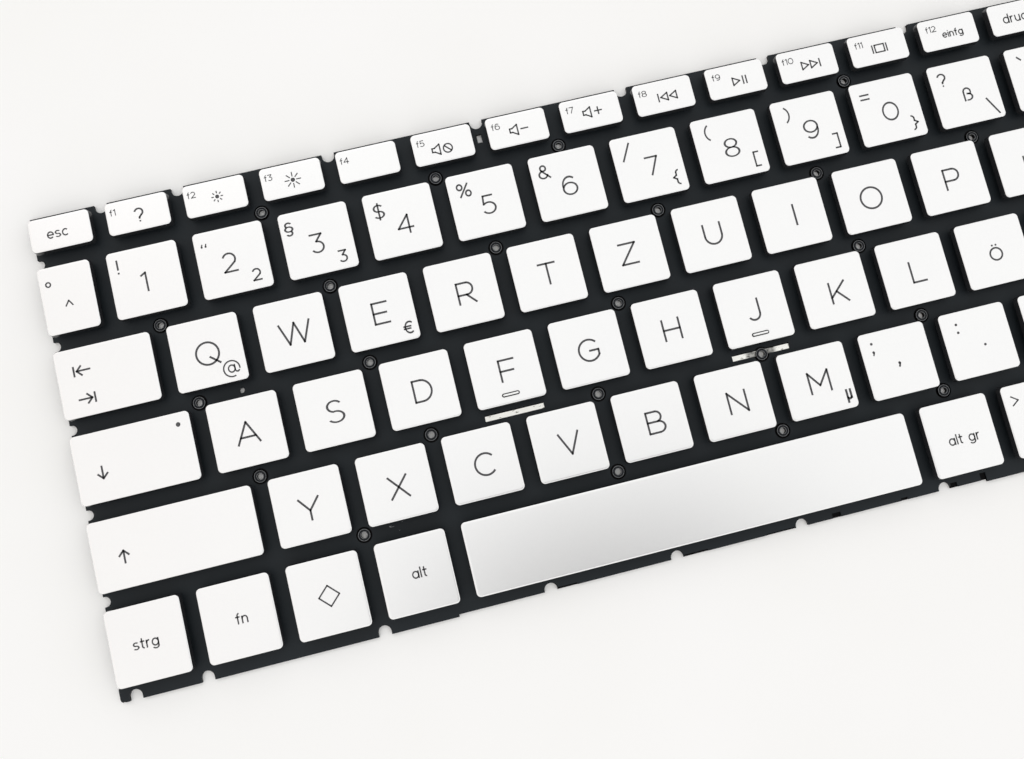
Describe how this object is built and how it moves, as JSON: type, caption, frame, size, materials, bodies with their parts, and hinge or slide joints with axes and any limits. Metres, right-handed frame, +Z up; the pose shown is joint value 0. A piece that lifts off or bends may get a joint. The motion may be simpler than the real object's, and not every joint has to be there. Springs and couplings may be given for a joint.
{
  "type": "laptop replacement keyboard",
  "caption": "Thin notebook keyboard module: silver low-profile keys on scissor mechanisms and rubber domes, over a black switch film and a coated base plate with mounting bosses.",
  "frame": {"origin": "under the middle of the base plate, on the surface that it lies on", "axes": "+X along the key rows to the right, +Y to the back (the function row), +Z up through the keys"},
  "size_m": [0.2746, 0.107, 0.0039],
  "materials": {
    "silver_keycap": "silver paint over black plastic",
    "coated_steel": "matte black coating",
    "black_film": "matte black polyester film",
    "dome_rubber": "silicone rubber",
    "scissor_plastic": "moulded acetal",
    "spring_wire": "drawn wire",
    "light_pipe": "smoked clear plastic"
  },
  "bodies": {
    "deck": {"base_plate": "coated_steel", "switch_film": "black_film", "rubber_domes": "dome_rubber", "scissor_outer_frames": "scissor_plastic", "scissor_inner_frames": "scissor_plastic", "stabiliser_wires": "spring_wire", "function_row_keys": "silver_keycap", "right_side_keys": "silver_keycap"},
    "key_caret": {"key_caret": "silver_keycap"},
    "key_1": {"key_1": "silver_keycap"},
    "key_2": {"key_2": "silver_keycap"},
    "key_3": {"key_3": "silver_keycap"},
    "key_4": {"key_4": "silver_keycap"},
    "key_5": {"key_5": "silver_keycap"},
    "key_6": {"key_6": "silver_keycap"},
    "key_7": {"key_7": "silver_keycap"},
    "key_8": {"key_8": "silver_keycap"},
    "key_9": {"key_9": "silver_keycap"},
    "key_0": {"key_0": "silver_keycap"},
    "key_eszett": {"key_eszett": "silver_keycap"},
    "key_tab": {"key_tab": "silver_keycap"},
    "key_q": {"key_q": "silver_keycap"},
    "key_w": {"key_w": "silver_keycap"},
    "key_e": {"key_e": "silver_keycap"},
    "key_r": {"key_r": "silver_keycap"},
    "key_t": {"key_t": "silver_keycap"},
    "key_z": {"key_z": "silver_keycap"},
    "key_u": {"key_u": "silver_keycap"},
    "key_i": {"key_i": "silver_keycap"},
    "key_o": {"key_o": "silver_keycap"},
    "key_p": {"key_p": "silver_keycap"},
    "key_caps_lock": {"key_caps_lock": "silver_keycap", "caps_lock_lens": "light_pipe"},
    "key_a": {"key_a": "silver_keycap"},
    "key_s": {"key_s": "silver_keycap"},
    "key_d": {"key_d": "silver_keycap"},
    "key_f": {"key_f": "silver_keycap"},
    "key_g": {"key_g": "silver_keycap"},
    "key_h": {"key_h": "silver_keycap"},
    "key_j": {"key_j": "silver_keycap"},
    "key_k": {"key_k": "silver_keycap"},
    "key_l": {"key_l": "silver_keycap"},
    "key_o_umlaut": {"key_o_umlaut": "silver_keycap"},
    "key_left_shift": {"key_left_shift": "silver_keycap"},
    "key_y": {"key_y": "silver_keycap"},
    "key_x": {"key_x": "silver_keycap"},
    "key_c": {"key_c": "silver_keycap"},
    "key_v": {"key_v": "silver_keycap"},
    "key_b": {"key_b": "silver_keycap"},
    "key_n": {"key_n": "silver_keycap"},
    "key_m": {"key_m": "silver_keycap"},
    "key_comma": {"key_comma": "silver_keycap"},
    "key_period": {"key_period": "silver_keycap"},
    "key_ctrl": {"key_ctrl": "silver_keycap"},
    "key_fn": {"key_fn": "silver_keycap"},
    "key_system": {"key_system": "silver_keycap"},
    "key_alt": {"key_alt": "silver_keycap"},
    "key_space": {"key_space": "silver_keycap"},
    "key_alt_gr": {"key_alt_gr": "silver_keycap"},
    "key_angle": {"key_angle": "silver_keycap"}
  },
  "joints": [
    {"name": "press_caret", "type": "slide", "parent": "deck", "child": "key_caret", "axis": [0, 0, -1], "range_m": [0, 0.0012], "stiffness_N_per_m": 450, "deforming": ["rubber_domes", "scissor_outer_frames", "scissor_inner_frames"]},
    {"name": "press_1", "type": "slide", "parent": "deck", "child": "key_1", "axis": [0, 0, -1], "range_m": [0, 0.0012], "stiffness_N_per_m": 450, "deforming": ["rubber_domes", "scissor_outer_frames", "scissor_inner_frames"]},
    {"name": "press_2", "type": "slide", "parent": "deck", "child": "key_2", "axis": [0, 0, -1], "range_m": [0, 0.0012], "stiffness_N_per_m": 450, "deforming": ["rubber_domes", "scissor_outer_frames", "scissor_inner_frames"]},
    {"name": "press_3", "type": "slide", "parent": "deck", "child": "key_3", "axis": [0, 0, -1], "range_m": [0, 0.0012], "stiffness_N_per_m": 450, "deforming": ["rubber_domes", "scissor_outer_frames", "scissor_inner_frames"]},
    {"name": "press_4", "type": "slide", "parent": "deck", "child": "key_4", "axis": [0, 0, -1], "range_m": [0, 0.0012], "stiffness_N_per_m": 450, "deforming": ["rubber_domes", "scissor_outer_frames", "scissor_inner_frames"]},
    {"name": "press_5", "type": "slide", "parent": "deck", "child": "key_5", "axis": [0, 0, -1], "range_m": [0, 0.0012], "stiffness_N_per_m": 450, "deforming": ["rubber_domes", "scissor_outer_frames", "scissor_inner_frames"]},
    {"name": "press_6", "type": "slide", "parent": "deck", "child": "key_6", "axis": [0, 0, -1], "range_m": [0, 0.0012], "stiffness_N_per_m": 450, "deforming": ["rubber_domes", "scissor_outer_frames", "scissor_inner_frames"]},
    {"name": "press_7", "type": "slide", "parent": "deck", "child": "key_7", "axis": [0, 0, -1], "range_m": [0, 0.0012], "stiffness_N_per_m": 450, "deforming": ["rubber_domes", "scissor_outer_frames", "scissor_inner_frames"]},
    {"name": "press_8", "type": "slide", "parent": "deck", "child": "key_8", "axis": [0, 0, -1], "range_m": [0, 0.0012], "stiffness_N_per_m": 450, "deforming": ["rubber_domes", "scissor_outer_frames", "scissor_inner_frames"]},
    {"name": "press_9", "type": "slide", "parent": "deck", "child": "key_9", "axis": [0, 0, -1], "range_m": [0, 0.0012], "stiffness_N_per_m": 450, "deforming": ["rubber_domes", "scissor_outer_frames", "scissor_inner_frames"]},
    {"name": "press_0", "type": "slide", "parent": "deck", "child": "key_0", "axis": [0, 0, -1], "range_m": [0, 0.0012], "stiffness_N_per_m": 450, "deforming": ["rubber_domes", "scissor_outer_frames", "scissor_inner_frames"]},
    {"name": "press_eszett", "type": "slide", "parent": "deck", "child": "key_eszett", "axis": [0, 0, -1], "range_m": [0, 0.0012], "stiffness_N_per_m": 450, "deforming": ["rubber_domes", "scissor_outer_frames", "scissor_inner_frames"]},
    {"name": "press_tab", "type": "slide", "parent": "deck", "child": "key_tab", "axis": [0, 0, -1], "range_m": [0, 0.0012], "stiffness_N_per_m": 450, "deforming": ["rubber_domes", "scissor_outer_frames", "scissor_inner_frames"]},
    {"name": "press_q", "type": "slide", "parent": "deck", "child": "key_q", "axis": [0, 0, -1], "range_m": [0, 0.0012], "stiffness_N_per_m": 450, "deforming": ["rubber_domes", "scissor_outer_frames", "scissor_inner_frames"]},
    {"name": "press_w", "type": "slide", "parent": "deck", "child": "key_w", "axis": [0, 0, -1], "range_m": [0, 0.0012], "stiffness_N_per_m": 450, "deforming": ["rubber_domes", "scissor_outer_frames", "scissor_inner_frames"]},
    {"name": "press_e", "type": "slide", "parent": "deck", "child": "key_e", "axis": [0, 0, -1], "range_m": [0, 0.0012], "stiffness_N_per_m": 450, "deforming": ["rubber_domes", "scissor_outer_frames", "scissor_inner_frames"]},
    {"name": "press_r", "type": "slide", "parent": "deck", "child": "key_r", "axis": [0, 0, -1], "range_m": [0, 0.0012], "stiffness_N_per_m": 450, "deforming": ["rubber_domes", "scissor_outer_frames", "scissor_inner_frames"]},
    {"name": "press_t", "type": "slide", "parent": "deck", "child": "key_t", "axis": [0, 0, -1], "range_m": [0, 0.0012], "stiffness_N_per_m": 450, "deforming": ["rubber_domes", "scissor_outer_frames", "scissor_inner_frames"]},
    {"name": "press_z", "type": "slide", "parent": "deck", "child": "key_z", "axis": [0, 0, -1], "range_m": [0, 0.0012], "stiffness_N_per_m": 450, "deforming": ["rubber_domes", "scissor_outer_frames", "scissor_inner_frames"]},
    {"name": "press_u", "type": "slide", "parent": "deck", "child": "key_u", "axis": [0, 0, -1], "range_m": [0, 0.0012], "stiffness_N_per_m": 450, "deforming": ["rubber_domes", "scissor_outer_frames", "scissor_inner_frames"]},
    {"name": "press_i", "type": "slide", "parent": "deck", "child": "key_i", "axis": [0, 0, -1], "range_m": [0, 0.0012], "stiffness_N_per_m": 450, "deforming": ["rubber_domes", "scissor_outer_frames", "scissor_inner_frames"]},
    {"name": "press_o", "type": "slide", "parent": "deck", "child": "key_o", "axis": [0, 0, -1], "range_m": [0, 0.0012], "stiffness_N_per_m": 450, "deforming": ["rubber_domes", "scissor_outer_frames", "scissor_inner_frames"]},
    {"name": "press_p", "type": "slide", "parent": "deck", "child": "key_p", "axis": [0, 0, -1], "range_m": [0, 0.0012], "stiffness_N_per_m": 450, "deforming": ["rubber_domes", "scissor_outer_frames", "scissor_inner_frames"]},
    {"name": "press_caps_lock", "type": "slide", "parent": "deck", "child": "key_caps_lock", "axis": [0, 0, -1], "range_m": [0, 0.0012], "stiffness_N_per_m": 450, "deforming": ["rubber_domes", "scissor_outer_frames", "scissor_inner_frames"]},
    {"name": "press_a", "type": "slide", "parent": "deck", "child": "key_a", "axis": [0, 0, -1], "range_m": [0, 0.0012], "stiffness_N_per_m": 450, "deforming": ["rubber_domes", "scissor_outer_frames", "scissor_inner_frames"]},
    {"name": "press_s", "type": "slide", "parent": "deck", "child": "key_s", "axis": [0, 0, -1], "range_m": [0, 0.0012], "stiffness_N_per_m": 450, "deforming": ["rubber_domes", "scissor_outer_frames", "scissor_inner_frames"]},
    {"name": "press_d", "type": "slide", "parent": "deck", "child": "key_d", "axis": [0, 0, -1], "range_m": [0, 0.0012], "stiffness_N_per_m": 450, "deforming": ["rubber_domes", "scissor_outer_frames", "scissor_inner_frames"]},
    {"name": "press_f", "type": "slide", "parent": "deck", "child": "key_f", "axis": [0, 0, -1], "range_m": [0, 0.0012], "stiffness_N_per_m": 450, "deforming": ["rubber_domes", "scissor_outer_frames", "scissor_inner_frames"]},
    {"name": "press_g", "type": "slide", "parent": "deck", "child": "key_g", "axis": [0, 0, -1], "range_m": [0, 0.0012], "stiffness_N_per_m": 450, "deforming": ["rubber_domes", "scissor_outer_frames", "scissor_inner_frames"]},
    {"name": "press_h", "type": "slide", "parent": "deck", "child": "key_h", "axis": [0, 0, -1], "range_m": [0, 0.0012], "stiffness_N_per_m": 450, "deforming": ["rubber_domes", "scissor_outer_frames", "scissor_inner_frames"]},
    {"name": "press_j", "type": "slide", "parent": "deck", "child": "key_j", "axis": [0, 0, -1], "range_m": [0, 0.0012], "stiffness_N_per_m": 450, "deforming": ["rubber_domes", "scissor_outer_frames", "scissor_inner_frames"]},
    {"name": "press_k", "type": "slide", "parent": "deck", "child": "key_k", "axis": [0, 0, -1], "range_m": [0, 0.0012], "stiffness_N_per_m": 450, "deforming": ["rubber_domes", "scissor_outer_frames", "scissor_inner_frames"]},
    {"name": "press_l", "type": "slide", "parent": "deck", "child": "key_l", "axis": [0, 0, -1], "range_m": [0, 0.0012], "stiffness_N_per_m": 450, "deforming": ["rubber_domes", "scissor_outer_frames", "scissor_inner_frames"]},
    {"name": "press_o_umlaut", "type": "slide", "parent": "deck", "child": "key_o_umlaut", "axis": [0, 0, -1], "range_m": [0, 0.0012], "stiffness_N_per_m": 450, "deforming": ["rubber_domes", "scissor_outer_frames", "scissor_inner_frames"]},
    {"name": "press_left_shift", "type": "slide", "parent": "deck", "child": "key_left_shift", "axis": [0, 0, -1], "range_m": [0, 0.0012], "stiffness_N_per_m": 450, "deforming": ["rubber_domes", "scissor_outer_frames", "scissor_inner_frames", "stabiliser_wires"]},
    {"name": "press_y", "type": "slide", "parent": "deck", "child": "key_y", "axis": [0, 0, -1], "range_m": [0, 0.0012], "stiffness_N_per_m": 450, "deforming": ["rubber_domes", "scissor_outer_frames", "scissor_inner_frames"]},
    {"name": "press_x", "type": "slide", "parent": "deck", "child": "key_x", "axis": [0, 0, -1], "range_m": [0, 0.0012], "stiffness_N_per_m": 450, "deforming": ["rubber_domes", "scissor_outer_frames", "scissor_inner_frames"]},
    {"name": "press_c", "type": "slide", "parent": "deck", "child": "key_c", "axis": [0, 0, -1], "range_m": [0, 0.0012], "stiffness_N_per_m": 450, "deforming": ["rubber_domes", "scissor_outer_frames", "scissor_inner_frames"]},
    {"name": "press_v", "type": "slide", "parent": "deck", "child": "key_v", "axis": [0, 0, -1], "range_m": [0, 0.0012], "stiffness_N_per_m": 450, "deforming": ["rubber_domes", "scissor_outer_frames", "scissor_inner_frames"]},
    {"name": "press_b", "type": "slide", "parent": "deck", "child": "key_b", "axis": [0, 0, -1], "range_m": [0, 0.0012], "stiffness_N_per_m": 450, "deforming": ["rubber_domes", "scissor_outer_frames", "scissor_inner_frames"]},
    {"name": "press_n", "type": "slide", "parent": "deck", "child": "key_n", "axis": [0, 0, -1], "range_m": [0, 0.0012], "stiffness_N_per_m": 450, "deforming": ["rubber_domes", "scissor_outer_frames", "scissor_inner_frames"]},
    {"name": "press_m", "type": "slide", "parent": "deck", "child": "key_m", "axis": [0, 0, -1], "range_m": [0, 0.0012], "stiffness_N_per_m": 450, "deforming": ["rubber_domes", "scissor_outer_frames", "scissor_inner_frames"]},
    {"name": "press_comma", "type": "slide", "parent": "deck", "child": "key_comma", "axis": [0, 0, -1], "range_m": [0, 0.0012], "stiffness_N_per_m": 450, "deforming": ["rubber_domes", "scissor_outer_frames", "scissor_inner_frames"]},
    {"name": "press_period", "type": "slide", "parent": "deck", "child": "key_period", "axis": [0, 0, -1], "range_m": [0, 0.0012], "stiffness_N_per_m": 450, "deforming": ["rubber_domes", "scissor_outer_frames", "scissor_inner_frames"]},
    {"name": "press_ctrl", "type": "slide", "parent": "deck", "child": "key_ctrl", "axis": [0, 0, -1], "range_m": [0, 0.0012], "stiffness_N_per_m": 450, "deforming": ["rubber_domes", "scissor_outer_frames", "scissor_inner_frames"]},
    {"name": "press_fn", "type": "slide", "parent": "deck", "child": "key_fn", "axis": [0, 0, -1], "range_m": [0, 0.0012], "stiffness_N_per_m": 450, "deforming": ["rubber_domes", "scissor_outer_frames", "scissor_inner_frames"]},
    {"name": "press_system", "type": "slide", "parent": "deck", "child": "key_system", "axis": [0, 0, -1], "range_m": [0, 0.0012], "stiffness_N_per_m": 450, "deforming": ["rubber_domes", "scissor_outer_frames", "scissor_inner_frames"]},
    {"name": "press_alt", "type": "slide", "parent": "deck", "child": "key_alt", "axis": [0, 0, -1], "range_m": [0, 0.0012], "stiffness_N_per_m": 450, "deforming": ["rubber_domes", "scissor_outer_frames", "scissor_inner_frames"]},
    {"name": "press_space", "type": "slide", "parent": "deck", "child": "key_space", "axis": [0, 0, -1], "range_m": [0, 0.0012], "stiffness_N_per_m": 600, "deforming": ["rubber_domes", "scissor_outer_frames", "scissor_inner_frames", "stabiliser_wires"]},
    {"name": "press_alt_gr", "type": "slide", "parent": "deck", "child": "key_alt_gr", "axis": [0, 0, -1], "range_m": [0, 0.0012], "stiffness_N_per_m": 450, "deforming": ["rubber_domes", "scissor_outer_frames", "scissor_inner_frames"]},
    {"name": "press_angle", "type": "slide", "parent": "deck", "child": "key_angle", "axis": [0, 0, -1], "range_m": [0, 0.0012], "stiffness_N_per_m": 450, "deforming": ["rubber_domes", "scissor_outer_frames", "scissor_inner_frames"]}
  ]
}
